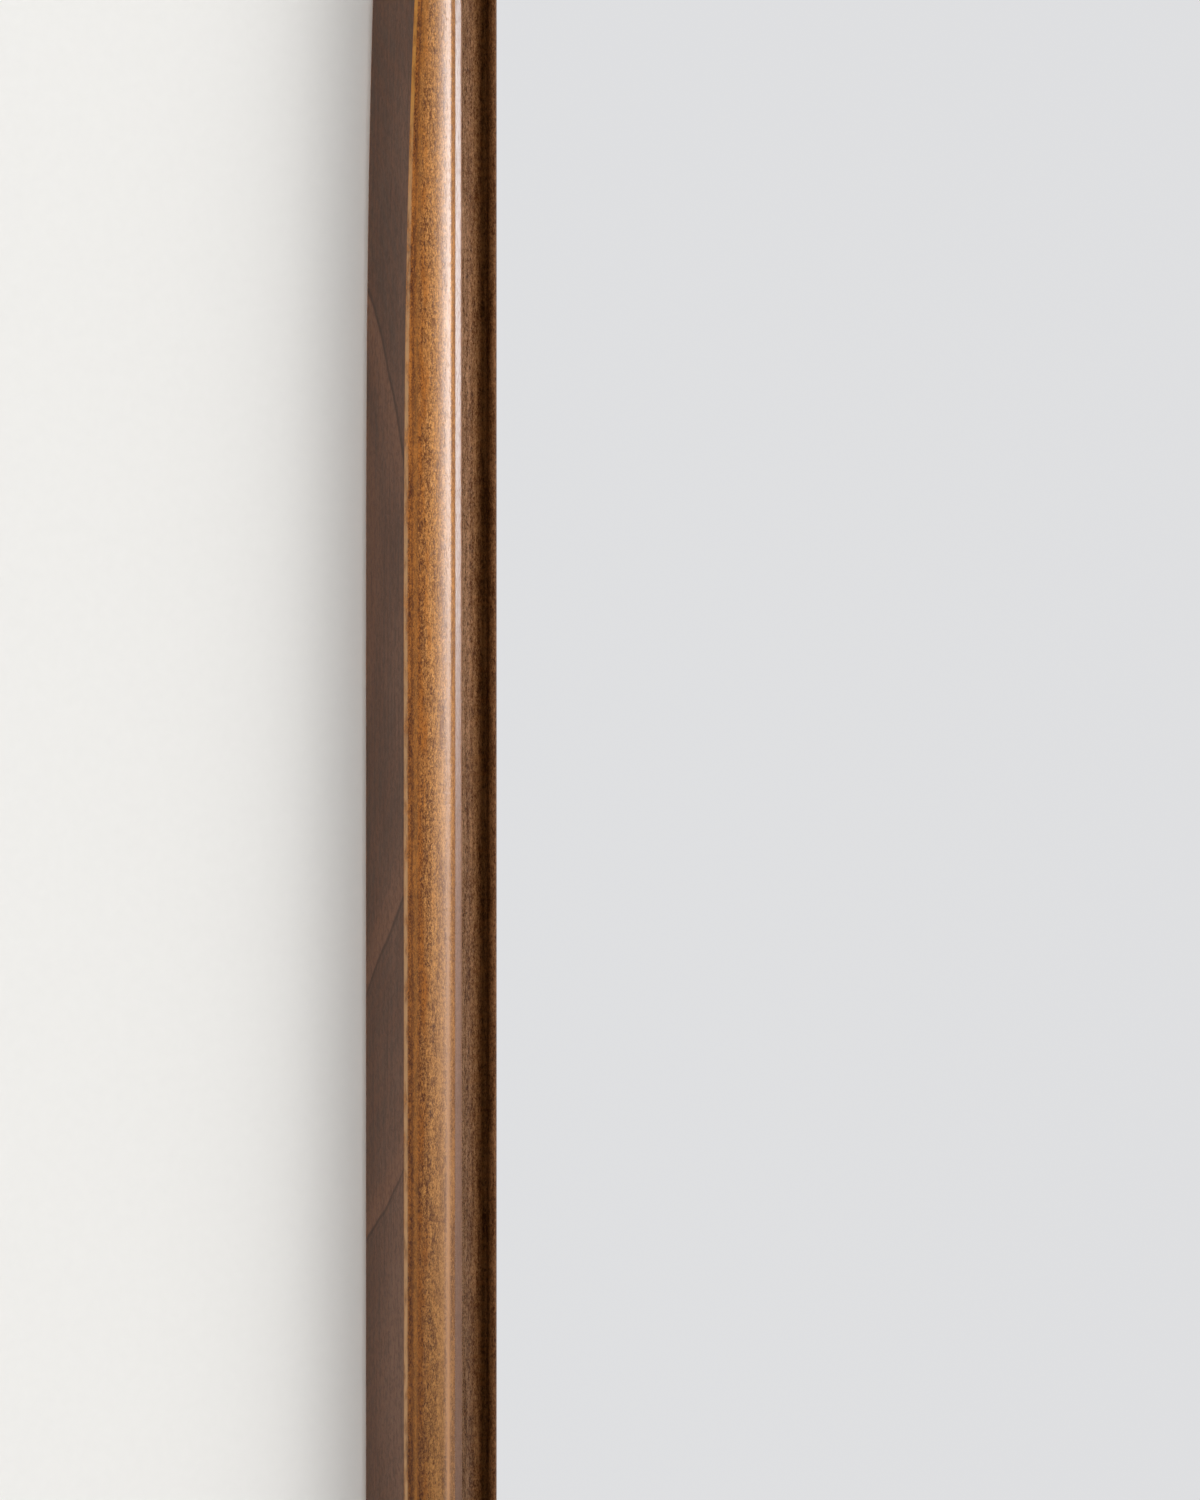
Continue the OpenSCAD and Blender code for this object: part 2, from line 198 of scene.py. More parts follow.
def make_mesh(name, verts, faces, sharp):
    """A mesh that is smooth but for the edges sharper than an angle in degrees."""
    mesh = bpy.data.meshes.new(name)
    mesh.from_pydata([tuple(v) for v in verts], [], faces)
    mesh.validate()
    mesh.shade_smooth()
    mesh.set_sharp_from_angle(angle=math.radians(sharp))
    return mesh


def add_object(name, mesh, material, body=None, node=None):
    """A piece that rides on a body, stands for a CAD node and takes a slot's finish."""
    obj = bpy.data.objects.new(name, mesh)
    bpy.context.scene.collection.objects.link(obj)
    mesh.materials.append(material)
    if body:
        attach(obj, body)
    if node:
        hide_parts(node)
    return obj


def joined(shapes):
    """Several (verts, faces) shapes as one."""
    verts, faces = [], []
    for more_verts, more_faces in shapes:
        faces += [tuple(len(verts) + i for i in f) for f in more_faces]
        verts += more_verts
    return verts, faces


def placed(shape, matrix):
    verts, faces = shape
    return [matrix @ Vector(v) for v in verts], faces


def add_hardware(name, node, body, slot, sharp, shapes):
    """A piece of hardware made of shapes, which stands for a CAD node."""
    mesh = make_mesh(name, *joined(shapes), sharp)
    add_object(name, mesh, MATERIALS[slot], body, node)


def loops_shape(loops, closed_around=False, caps=True):
    """Quads between loops of equal length; the first and last loops are joined or capped."""
    n = len(loops[0])
    verts = [p for loop in loops for p in loop]
    faces = []
    last = len(loops) if closed_around else len(loops) - 1
    for k in range(last):
        a, b = k * n, ((k + 1) % len(loops)) * n
        for i in range(n):
            j = (i + 1) % n
            faces.append((a + i, a + j, b + j, b + i))
    if caps and not closed_around:
        faces.append(tuple(range(n - 1, -1, -1)))
        faces.append(tuple((len(loops) - 1) * n + i for i in range(n)))
    return verts, faces


def soften(points, index, reach, steps=4):
    """Rounds the corner at index of an open line of points, starting reach away from it."""
    before, corner, after = (Vector(points[index + k]) for k in (-1, 0, 1))
    start = corner + (before - corner).normalized() * min(reach, (before - corner).length * 0.9)
    end = corner + (after - corner).normalized() * min(reach, (after - corner).length * 0.9)
    curve = []
    for k in range(steps + 1):
        t = k / steps
        curve.append(tuple(start * (1 - t) ** 2 + corner * 2 * t * (1 - t) + end * t**2))
    return curve


def arc(cu, cv, r, start, end, steps):
    """Points on an arc, with angles in degrees from +u towards +v."""
    angles = [math.radians(start + (end - start) * k / steps) for k in range(steps + 1)]
    return [(cu + r * math.cos(a), cv + r * math.sin(a)) for a in angles]


def angle_at(cu, cv, u, v):
    return math.degrees(math.atan2(v - cv, u - cu))


# The frame's four sides


def section(outer, wear):
    """The moulding's section as a closed loop of (u, v); wear is how far its arris is rounded."""
    side_v = CROWN_V + math.sqrt(CROWN_R**2 - (outer - CROWN_U) ** 2)
    lip_start = angle_at(LIP_W / 2, LIP_V, 0, LIP_V + math.sqrt(LIP_R**2 - (LIP_W / 2) ** 2))
    crease_v = COVE_V - math.sqrt(COVE_R**2 - (LIP_W - COVE_U) ** 2)
    cove_start = angle_at(COVE_U, COVE_V, LIP_W, crease_v)
    cove_end = angle_at(COVE_U, COVE_V, FILLET_U, FILLET_V)
    step_foot = angle_at(CROWN_U, MOULDING_H - STEP_R, CROWN_U - STEP_W, FILLET_V)
    crown_end = angle_at(CROWN_U, CROWN_V, outer, side_v)

    lines = [
        [(0, REBATE_V), (0, 16.5), (0, LIP_V)],
        arc(LIP_W / 2, LIP_V, LIP_R, lip_start, 180 - lip_start, 10),
        [(LIP_W, 18.3)],
        arc(COVE_U, COVE_V, COVE_R, cove_start, cove_end, 26),
        [(FILLET_U + k, FILLET_V) for k in (0.8, 1.6, 2.5)],
        arc(CROWN_U, MOULDING_H - STEP_R, STEP_R, step_foot, 90, 8),
        arc(CROWN_U, CROWN_V, CROWN_R, 90, crown_end, 22)[1:],
        [(outer, side_v - side_v * k / 7) for k in range(1, 8)],
        [((outer + LEDGE_U) / 2, 0), (LEDGE_U, 0), (LEDGE_U, LEDGE_V / 2), (LEDGE_U, LEDGE_V)],
        [((LEDGE_U + REBATE_W) / 2, LEDGE_V), (REBATE_W, LEDGE_V), (REBATE_W, REBATE_V)],
        [(REBATE_W / 2, REBATE_V)],
    ]
    points = [p for line in lines for p in line]
    # How far each corner is rounded, by its number in points: the lip's two, the crease, the
    # fillet's two, the arris, the back's outer one and the ledge's
    arris = 75
    rounded = {3: 0.25, 13: 0.25, 15: 0.5, 41: 0.45, 45: 0.12, arris: wear, 82: 0.8, 84: 0.4}
    loop = []
    for i, (u, v) in enumerate(points):
        if i in rounded:
            loop += soften(points, i, rounded[i], 6 if i == arris else 4)
        else:
            loop.append((u, v))
    return loop


def outer_edge(side, sight, lean):
    """Where the line from sight, leaning by lean, crosses the outer side's outline."""
    low, high = MOULDING_W - CORNER_R, MOULDING_W
    halvings = 40
    for _ in range(halvings):
        middle = (low + high) / 2
        from_end = run(side) / 2 - (abs(sight) + lean * middle)
        if middle < MOULDING_W - trim(from_end):
            low = middle
        else:
            high = middle
    return (low + high) / 2


def stations(side):
    """(sight, lean): the lines across the side that its section is drawn on, mitre to mitre."""
    end = run(side) / 2 - MOULDING_W
    turn, steps, spacing = 60.0, 56, 5.0
    middle = int(2 * (end - turn) / spacing)
    found = [(-end + turn * k / steps, (1 - k / steps) ** 2) for k in range(steps)]
    found += [(-end + turn + 2 * (end - turn) * k / middle, 0.0) for k in range(middle)]
    found += [(end - turn * (1 - k / steps), (k / steps) ** 2) for k in range(steps + 1)]
    return found


def arris_wear(sight, seed):
    """How far the outer arris is rounded at a place along a side."""
    slow = noise.noise(Vector((sight * 0.018, seed * 7.3, 0)))
    faster = noise.noise(Vector((sight * 0.06, seed * 7.3, 5)))
    return WEAR_MEAN + WEAR_SWING * (slow + 0.5 * faster)


def build_side(side, seed):
    """One side of the frame, with each point's place in the wood kept for its material."""
    loops, wood, outers = [], [], []
    for sight, lean in stations(side):
        outer = outer_edge(side, sight, lean)
        sign = 1 if sight > 0 else -1
        loop = []
        for u, v in section(outer, arris_wear(sight, seed)):
            along = sight + sign * lean * u
            loop.append(side_point(side, u, v, along))
            wood += [u, v, along]
            outers.append(outer)
        loops.append(loop)
    verts, faces = loops_shape(loops)
    mesh = make_mesh("frame_" + side, verts, faces, 32)
    place = mesh.attributes.new("wood", "FLOAT_VECTOR", "POINT")
    place.data.foreach_set("vector", wood)
    edge = mesh.attributes.new("outer", "FLOAT", "POINT")
    edge.data.foreach_set("value", outers)
    return mesh


# Cleats, plates, screws, turn buttons and bumpers


def side_frame(side, u, v, along):
    """Matrix from millimetres on a side, with Z into the wood, to the shared frame."""
    turn = Matrix.Rotation(math.radians(90 * QUARTER_TURNS[side]), 4, "Y")
    place = Matrix.Translation((MOULDING_W - u - across(side) / 2, -v, along))
    into = place @ Matrix.Rotation(math.pi / 2, 4, "X")
    return Matrix.Scale(MM, 4) @ Matrix.Translation((0, -BUMPER_T, MIDDLE_Z)) @ turn @ into


def ring(r, z, n):
    return [(r * math.cos(2 * math.pi * k / n), r * math.sin(2 * math.pi * k / n), z) for k in range(n)]


def inset(outline, ease):
    """A closed outline that runs counterclockwise, moved in by ease."""
    moved = []
    for i, point in enumerate(outline):
        before, here, after = Vector(outline[i - 1]), Vector(point), Vector(outline[(i + 1) % len(outline)])
        into, onward = (here - before).normalized(), (after - here).normalized()
        n1, n2 = Vector((-into.y, into.x)), Vector((-onward.y, onward.x))
        moved.append(tuple(here + (n1 + n2) * (ease / (1 + n1.dot(n2)))))
    return moved


def drilled(back, front, thickness, ease, holes, profile):
    """A flat piece between two outlines, with eased edges and the same hole at several places.

    profile is the hole's (radius, depth) from the back face to the front face."""
    n = 40
    loops = [
        [(x, y, 0.0) for x, y in inset(back, ease)],
        [(x, y, ease) for x, y in back],
        [(x, y, thickness - ease) for x, y in front],
        [(x, y, thickness) for x, y in inset(front, ease)],
    ]
    shapes = [loops_shape(loops, caps=False)]
    for hole_x, hole_y in holes:
        rings = [[(x + hole_x, y + hole_y, z) for x, y, z in ring(r, z, n)] for r, z in reversed(profile)]
        shapes.append(loops_shape(rings, caps=False))
    for outline, (r, z), up in ((loops[0], profile[0], False), (loops[-1], profile[-1], True)):
        flat = [Vector(p[:2]) for p in outline]
        edges = [(i, (i + 1) % len(flat)) for i in range(len(flat))]
        for hole_x, hole_y in holes:
            base = len(flat)
            flat += [Vector((x + hole_x, y + hole_y)) for x, y, _ in ring(r, z, n)]
            edges += [(base + i, base + (i + 1) % n) for i in range(n)]
        points, _, faces, _, _, _ = geometry.delaunay_2d_cdt(flat, edges, [], 1, 1e-6)
        middles = [sum((points[i] for i in f), Vector((0, 0))) / len(f) for f in faces]
        solid = [all((m - Vector(hole)).length > r * 0.999 for hole in holes) for m in middles]
        faces = [f if up else tuple(reversed(f)) for f, kept in zip(faces, solid) if kept]
        shapes.append(([(p.x, p.y, z) for p in points], faces))
    return joined(shapes)


def rectangle(half_x, low_y, high_y):
    return [(-half_x, low_y), (half_x, low_y), (half_x, high_y), (-half_x, high_y)]


def round_end(x, y, r, start, n=16):
    """Half a circle, from start degrees on."""
    turns = [math.radians(start + 180 * k / n) for k in range(n + 1)]
    return [(x + r * math.cos(a), y + r * math.sin(a)) for a in turns]


def countersunk(screw_sizes, thickness):
    """The profile of a flat-headed screw's hole, from the back face to the front face."""
    shank, head, _ = screw_sizes
    wide, narrow = head + SCREW_FIT, shank + SCREW_FIT
    return [(wide, 0.0), (narrow, head - shank), (narrow, thickness)]


def corner_plate_shape():
    """An L-shaped plate from the corner's centre, with its screws' countersinks at its back."""
    r, reach = PLATE_W / 2, PLATE_LEG - PLATE_W
    outline = round_end(reach, 0, r, -90) + round_end(0, 0, r, 90)[:9]
    outline += round_end(0, -reach, r, 180) + [(r, -r)]
    along = [place - PLATE_MID for place in PLATE_SCREW_PLACES]
    holes = [(x, 0) for x in along] + [(0, -x) for x in along]
    return drilled(outline, outline, PLATE_T, PLATE_EASE, holes, countersunk(PLATE_SCREW, PLATE_T))


def wall_cleat_shape():
    holes = [(-WALL_HOLE_X, 0), (WALL_HOLE_X, 0)]
    sink_start = CLEAT_T - WALL_SINK_R + WALL_HOLE_R
    profile = [(WALL_HOLE_R, 0.0), (WALL_HOLE_R, sink_start), (WALL_SINK_R, CLEAT_T)]
    back = rectangle(CLEAT_LEN / 2, -FOOT_H, BEVEL_Z)
    front = rectangle(CLEAT_LEN / 2, -FOOT_H, BEVEL_Z + CLEAT_T)
    return drilled(back, front, CLEAT_T, CLEAT_EASE, holes, profile)


def hanger_cleat_shape():
    holes = [(x, CLEAT_SCREW_Z) for x in CLEAT_SCREW_PLACES]
    back = rectangle(CLEAT_LEN / 2, BEVEL_Z + CLEAT_GAP, HANGER_TOP)
    front = rectangle(CLEAT_LEN / 2, BEVEL_Z + CLEAT_GAP + CLEAT_T, HANGER_TOP)
    return drilled(back, front, CLEAT_T, CLEAT_EASE, holes, countersunk(CLEAT_SCREW, CLEAT_T))


def cross(arm, half, z, n):
    """The outline of a driver's cross, with as many points as the rings around it."""
    points = []
    for k in range(n):
        turn = 2 * math.pi * k / n
        c, s = abs(math.cos(turn)), abs(math.sin(turn))
        long, short = max(c, s), min(c, s)
        r = arm / long if short / long < half / arm else half / max(short, 1e-6)
        points.append((r * math.cos(turn), r * math.sin(turn), z))
    return points


def screw(head, r, tip, length, recess):
    """A turned screw: head is (r, z) from its face to its neck, and the shank ends in a point.

    The driver's cross is recess long from its middle, and narrows as it goes in."""
    n = 48
    pitch = 0.9
    plain_turns = 2
    core_share = 0.78
    face_z, neck_z = head[0][1], head[-1][1]
    loops = [cross(recess * 0.55, recess * 0.13, face_z + recess * 0.55, n)]
    loops.append(cross(recess * 0.95, recess * 0.24, face_z + 0.04, n))
    loops.append(cross(recess, recess * 0.27, face_z, n))
    loops += [ring(hr, hz, n) for hr, hz in head]
    for k in range(int((length - tip - neck_z) / pitch)):
        z = neck_z + pitch * (k + 0.2)
        core = r if k < plain_turns else r * core_share
        loops += [ring(core, z, n), ring(core, z + pitch * 0.45, n), ring(r, z + pitch * 0.62, n)]
    loops += [ring(r * 0.7, length - tip, n), ring(r * 0.05, length, n)]
    return loops_shape(loops)


def flat_screw(r, head_r, length):
    cone = head_r - r
    head = [(head_r - 0.12, 0.0), (head_r, 0.07), (head_r, 0.16), (r + 0.1, cone), (r, cone + 0.15)]
    return screw(head, r, r, cone + length, head_r * 0.62)


def pan_screw():
    r, h = PIVOT_HEAD_R, PIVOT_HEAD_H
    dome = [(r * 0.62, 0.0), (r * 0.8, 0.13), (r * 0.92, 0.38), (r * 0.985, 0.75), (r, 1.15)]
    under = [(r, h - 0.1), (r - 0.1, h), (PIVOT_R + 0.05, h), (PIVOT_R, h + 0.1)]
    length = LEDGE_V - pan_head_v() + PIVOT_LEN
    return screw(dome + under, PIVOT_R, 2 * PIVOT_R, length, r * 0.56)


def pan_head_v():
    return LEDGE_V - 2 * BUTTON_PLAY - BUTTON_T - PIVOT_HEAD_H


def stadium(inset_by, n=24):
    """Points around a bar with round ends, moved in, with its pivot at the origin."""
    r = BUTTON_W / 2 - inset_by
    tip = round_end(BUTTON_ARM, 0, r, -90, n)
    heel = round_end(0, 0, r, 90, n)
    top = [(BUTTON_ARM * (1 - k / 8), r) for k in range(1, 8)]
    foot = [(BUTTON_ARM * k / 8, -r) for k in range(1, 8)]
    return tip + top + heel + foot


def dished(inset_by, depth):
    """A turn button's outline moved in, and sunk by depth along its arm but not at its pivot."""
    dish_start, dish_slope = 3.4, 1.6
    loop = []
    for x, y in stadium(inset_by):
        arm = min(1.0, max(0.0, (x - dish_start) / dish_slope))
        loop.append((x, y, depth * arm * arm * (3 - 2 * arm)))
    return loop


def turn_button_shape():
    """A stamped brass turn button: rolled edges, a hole for its screw and a dished arm."""
    t = BUTTON_T
    hole = PIVOT_R + SCREW_FIT
    rolled = [(0.45, 0.0), (0.2, 0.1), (0.05, 0.26), (0.0, 0.5), (0.0, t - 0.3), (0.1, t - 0.1), (0.3, t)]
    loops = [dished(1.9, 0.32), dished(1.6, 0.3), dished(1.3, 0.06), dished(1.05, 0.0)]
    loops += [[(x, y, z) for x, y in stadium(inset_by)] for inset_by, z in rolled]
    for r, z in ((hole, t), (hole, 0.1), (hole * 1.08, 0.0)):
        loops.append([(r * x / math.hypot(x, y), r * y / math.hypot(x, y), z) for x, y in stadium(0)])
    return loops_shape(loops, closed_around=True)


def bumper_shape():
    """A soft round foot, with its tip at 0 and its base at the bumper's thickness."""
    dimple = [(0.25, 0.35), (1.1, 0.33), (1.5, 0.08), (1.8, 0.0)]
    tip = [(-0.9, 0.0), (-0.35, 0.08), (-0.05, 0.32), (0.2, 0.7)]
    base = [(-0.25, 1.5), (-0.03, 1.8), (-0.08, BUMPER_T)]
    profile = [(BUMPER_TIP_R + out, z) for out, z in tip] + [(BUMPER_R + out, z) for out, z in base]
    return loops_shape([ring(r, z, 48) for r, z in dimple + profile])


# Materials


class Graph:
    """Short names for the nodes of one material or world."""

    def __init__(self, owner):
        self.owner = owner
        owner.use_nodes = True
        self.tree = owner.node_tree
        self.shader = self.tree.nodes.get("Principled BSDF")

    def node(self, kind, **settings):
        made = self.tree.nodes.new(kind)
        for key, value in settings.items():
            setattr(made, key, value)
        return made

    def put(self, socket, value):
        if isinstance(value, bpy.types.NodeSocket):
            self.tree.links.new(value, socket)
        elif value is not None:
            socket.default_value = value

    def feed(self, made, *values):
        for socket, value in zip(made.inputs, values):
            self.put(socket, value)
        return made.outputs[0]

    def attribute(self, name, output="Vector"):
        return self.node("ShaderNodeAttribute", attribute_name=name).outputs[output]

    def objects(self):
        return self.node("ShaderNodeTexCoord").outputs["Object"]

    def split(self, vector):
        made = self.node("ShaderNodeSeparateXYZ")
        self.feed(made, vector)
        return tuple(made.outputs)

    def join(self, x, y, z):
        return self.feed(self.node("ShaderNodeCombineXYZ"), x, y, z)

    def math(self, operation, a, b=None):
        return self.feed(self.node("ShaderNodeMath", operation=operation), a, b)

    def times(self, a, b):
        return self.math("MULTIPLY", a, b)

    def plus(self, a, b):
        return self.math("ADD", a, b)

    def minus(self, a, b):
        return self.math("SUBTRACT", a, b)

    def larger(self, a, b):
        return self.math("MAXIMUM", a, b)

    def along(self, vector, axis):
        """How far a vector reaches along an axis."""
        made = self.node("ShaderNodeVectorMath", operation="DOT_PRODUCT")
        self.feed(made, vector, axis)
        return made.outputs["Value"]

    def vector(self, operation, a, b):
        return self.feed(self.node("ShaderNodeVectorMath", operation=operation), a, b)

    def noise(self, vector, scale, detail, rough, stretch=None, distort=0.0):
        if stretch:
            vector = self.vector("MULTIPLY", vector, stretch)
        made = self.node("ShaderNodeTexNoise")
        self.put(made.inputs["Vector"], vector)
        made.inputs["Scale"].default_value = scale
        made.inputs["Detail"].default_value = detail
        made.inputs["Roughness"].default_value = rough
        made.inputs["Distortion"].default_value = distort
        return made.outputs["Fac"]

    def span(self, value, low, high, to_low=0.0, to_high=1.0, smooth=True):
        kind = "SMOOTHSTEP" if smooth else "LINEAR"
        made = self.node("ShaderNodeMapRange", interpolation_type=kind)
        return self.feed(made, value, low, high, to_low, to_high)

    def bump_at(self, value, centre, width):
        """1 at centre, falling to 0 a width away on both sides."""
        away = self.math("ABSOLUTE", self.minus(value, centre))
        return self.span(away, 0.0, width, 1.0, 0.0)

    def mix(self, factor, a, b, blend="MIX"):
        made = self.node("ShaderNodeMix", data_type="RGBA", blend_type=blend)
        self.put(made.inputs[0], factor)
        for socket, value in ((made.inputs[6], a), (made.inputs[7], b)):
            self.put(socket, (*value, 1) if isinstance(value, tuple) and len(value) == 3 else value)
        return made.outputs[2]

    def ramp(self, value, stops):
        made = self.node("ShaderNodeValToRGB")
        self.put(made.inputs[0], value)
        ramp = made.color_ramp
        while len(ramp.elements) < len(stops):
            ramp.elements.new(0.5)
        for element, (place, colour) in zip(ramp.elements, stops):
            element.position = place
            element.color = (*colour, 1)
        return made.outputs[0]

    def bump(self, height, distance, strength):
        made = self.node("ShaderNodeBump")
        self.put(made.inputs["Height"], height)
        made.inputs["Distance"].default_value = distance
        made.inputs["Strength"].default_value = strength
        return made.outputs[0]

    def finish(self, colour, normal=None, **inputs):
        self.put(self.shader.inputs["Base Color"], colour)
        self.put(self.shader.inputs["Normal"], normal)
        for name, value in inputs.items():
            self.put(self.shader.inputs[name.replace("_", " ")], value)
        return self.owner


def new_graph(name):
    return Graph(bpy.data.materials.new(name))


# Mean colour of the stained front, by distance from the sight edge: lip, crease, cove, fillet,
# step and crown, with painted shade darkening the cove into the crease under the lip, and painted light
# making the step and the crown's inner part paler
STAIN_AND_SHADE = [
    (0.0, (0.36, 0.18, 0.085)),
    (1.0, (0.26, 0.12, 0.052)),
    (2.2, (0.16, 0.070, 0.028)),
    (3.1, (0.095, 0.038, 0.012)),
    (4.3, (0.053, 0.021, 0.006)),
    (5.5, (0.118, 0.049, 0.018)),
    (7.2, (0.26, 0.125, 0.052)),
    (9.5, (0.33, 0.16, 0.073)),
    (14.0, (0.43, 0.245, 0.14)),
    (18.6, (0.54, 0.30, 0.19)),
    (19.2, (0.42, 0.18, 0.08)),
    (21.4, (0.50, 0.25, 0.14)),
    (21.9, (0.62, 0.26, 0.070)),
    (24.2, (0.70, 0.30, 0.070)),
    (29.0, (0.77, 0.35, 0.092)),
    (31.4, (0.69, 0.305, 0.078)),
    (34.4, (0.42, 0.137, 0.016)),
    (38.0, (0.44, 0.145, 0.018)),
]
STAIN_AND_SHADE_SPAN = 40.0
# What the figure of the wood makes of that colour, from its darkest to its palest places
FIGURE_TONES = [(0.42, (0.20, 0.125, 0.075)), (0.50, (0.59, 0.55, 0.51)), (0.575, (1.0, 1.0, 1.0))]
EVEN_TONE = (0.62, 0.60, 0.58)
# The front's slow swing from pale to dark along its length
SWING_CENTRE = 260.0
SWING_HALF = 450.0
# Marks on the stained front
FRONT_LATE = (0.09, 0.03, 0.010)
FRONT_PORE = (0.035, 0.013, 0.006)
FRONT_RIPPLE = (0.14, 0.045, 0.010)
# Painted light: the crown's top by the step, made paler for the light on it
CROWN_TOP_LIT = (0.50, 0.23, 0.085)
ARRIS_TAN = (0.46, 0.265, 0.125)
ARRIS_ORANGE = (0.50, 0.22, 0.04)
ARRIS_UNDER = (0.10, 0.036, 0.010)
ARRIS_BEYOND = (0.40, 0.17, 0.036)
# The outer side, in colours painted darker than the front's for the shade on it
SIDE_STREAKS = [(0.40, (0.078, 0.044, 0.029)), (0.50, (0.092, 0.047, 0.029)), (0.60, (0.107, 0.051, 0.030))]
SIDE_BAND = (0.122, 0.052, 0.028)
SIDE_PALE = (0.20, 0.105, 0.067)
SIDE_EARLY = (0.205, 0.092, 0.050)
SIDE_LATE = (0.030, 0.017, 0.012)
SIDE_FIBRE = (0.035, 0.018, 0.012)
SIDE_MOTTLE = (0.042, 0.024, 0.017)
# Planed wood without stain
BARE_FIBRES = [(0.3, (0.20, 0.105, 0.055)), (0.7, (0.36, 0.21, 0.12))]
BARE_LATE = (0.16, 0.08, 0.045)
BARE_PORE = (0.08, 0.04, 0.02)
# Growth rings: where along the side they peak and how bluntly, how they slant, turn across the
# front and wander, and the ring at their core
RING_PEAK = 215.0
RING_BLUNT = 200.0
RING_SLANT = 1.33
RING_TURN = 3.0
RING_WANDER = 9.0
RING_CORE = 275.0
# The dark lines of late wood, which show only above the peak (1) or only below it (-1), with a
# paler band of early wood before each
RING_LINES = {293.5: 1, 323.8: -1, 393.5: -1}
LATE_WIDTH = 1.3
EARLY_WIDTH = 17.0


class Walnut(Graph):
    """Walnut-stained hardwood under lacquer, drawn by u, v and the place z along a side.

    inward is the distance in from the outer side, and shift moves the grain, so no two sides match."""

    def __init__(self, name, shift):
        super().__init__(bpy.data.materials.new(name))
        place = self.attribute("wood")
        self.outer = self.attribute("outer", "Fac")
        self.u, self.v, self.z = self.split(place)
        self.inward = self.minus(self.outer, self.u)
        self.moved = self.vector("ADD", place, shift)
        self.length = self.split(self.moved)[2]
        self.find_zones()
        self.draw_grain()
        self.draw_rings()

    def find_zones(self):
        """Zones of the section, each 1 inside and 0 outside."""
        u, v = self.u, self.v
        off_crown = self.minus(self.outer, CROWN_U)
        arris_v = self.math("SQRT", self.minus(CROWN_R**2, self.times(off_crown, off_crown)))
        self.front = self.span(self.minus(v, self.plus(arris_v, CROWN_V)), -0.55, -0.1)
        side = self.times(self.span(self.inward, 0.0, 0.05, 1.0, 0.0), self.span(v, 0.05, 0.2))
        self.side = self.times(side, self.minus(1.0, self.front))
        self.cove = self.times(self.span(u, 7.0, 9.0), self.span(u, 18.6, 18.9, 1.0, 0.0))
        even = self.times(self.span(u, 18.5, 19.0), self.span(u, 28.0, 31.5, 1.0, 0.0))
        self.even = self.times(even, self.span(u, 21.2, 22.0, 1.0, 0.45))
        back = self.times(self.span(v, 0.0, 0.1, 1.0, 0.0), self.span(u, 19.0, 20.0))
        rebate = self.times(self.span(v, 14.4, 14.8, 1.0, 0.0), self.span(u, 20.0, 20.6, 1.0, 0.0))
        self.bare = self.larger(back, rebate)

    def grain(self, detail, rough, stretch, distort=0.0):
        return self.noise(self.moved, 1.0, detail, rough, stretch, distort)

    def draw_grain(self):
        self.fibre = self.grain(3, 0.6, (1.3, 1.3, 0.035))
        self.streak = self.grain(3, 0.6, (0.55, 0.55, 0.012))
        self.mottle = self.grain(5, 0.72, (0.95, 0.95, 0.42), 0.6)
        self.speck = self.grain(1, 0.7, (2.6, 2.6, 1.25), 0.8)
        self.patch = self.grain(2, 0.5, (0.45, 0.45, 0.055))
        self.ripple = self.grain(2, 0.5, (0.15, 0.15, 0.7))
        self.pore = self.span(self.grain(2, 0.7, (2.5, 2.5, 0.5), 0.6), 0.575, 0.65)

    def draw_rings(self):
        """Rings nearly parallel to the outer side, where they show as slanted cathedral lines."""
        along = self.minus(self.length, RING_PEAK)
        peak = self.math("SQRT", self.plus(self.times(along, along), RING_BLUNT**2))
        wander = self.noise(self.join(self.u, self.v, self.times(self.length, 0.25)), 0.05, 2, 0.5)
        ring = self.plus(self.v, self.times(peak, RING_SLANT))
        ring = self.plus(ring, self.times(self.minus(MOULDING_W, self.u), RING_TURN))
        ring = self.plus(ring, self.times(self.minus(wander, 0.5), RING_WANDER))
        self.bands = self.noise(self.join(self.times(ring, 0.16), 0.0, 0.0), 1.0, 3, 0.65)
        self.late, self.early = 0.0, 0.0
        for line, half in RING_LINES.items():
            shown = self.span(self.times(along, half), 5.0, 40.0)
            self.late = self.larger(self.late, self.times(shown, self.bump_at(ring, line, LATE_WIDTH)))
            band = self.times(shown, self.span(ring, line - EARLY_WIDTH, line - 2.0))
            band = self.times(band, self.span(ring, line - 1.0, line, 1.0, 0.0))
            self.early = self.larger(self.early, band)
        core = self.span(ring, RING_CORE - 2.0, RING_CORE + 3.0, 0.45, 0.0)
        self.early = self.larger(self.early, core)

    def stained_and_shaded_front(self):
        """A mean colour for each place, multiplied by the wood's figure."""
        figure = self.plus(self.times(self.mottle, 0.34), self.times(self.speck, 0.36))
        figure = self.plus(figure, self.times(self.fibre, 0.10))
        figure = self.plus(figure, self.times(self.patch, 0.2))
        tone = self.mix(self.times(self.even, 0.8), self.ramp(figure, FIGURE_TONES), EVEN_TONE)
        stops = [(at / STAIN_AND_SHADE_SPAN, colour) for at, colour in STAIN_AND_SHADE]
        wander = self.times(self.minus(self.patch, 0.5), self.span(self.u, 26.0, 30.0, 0.0, 9.0))
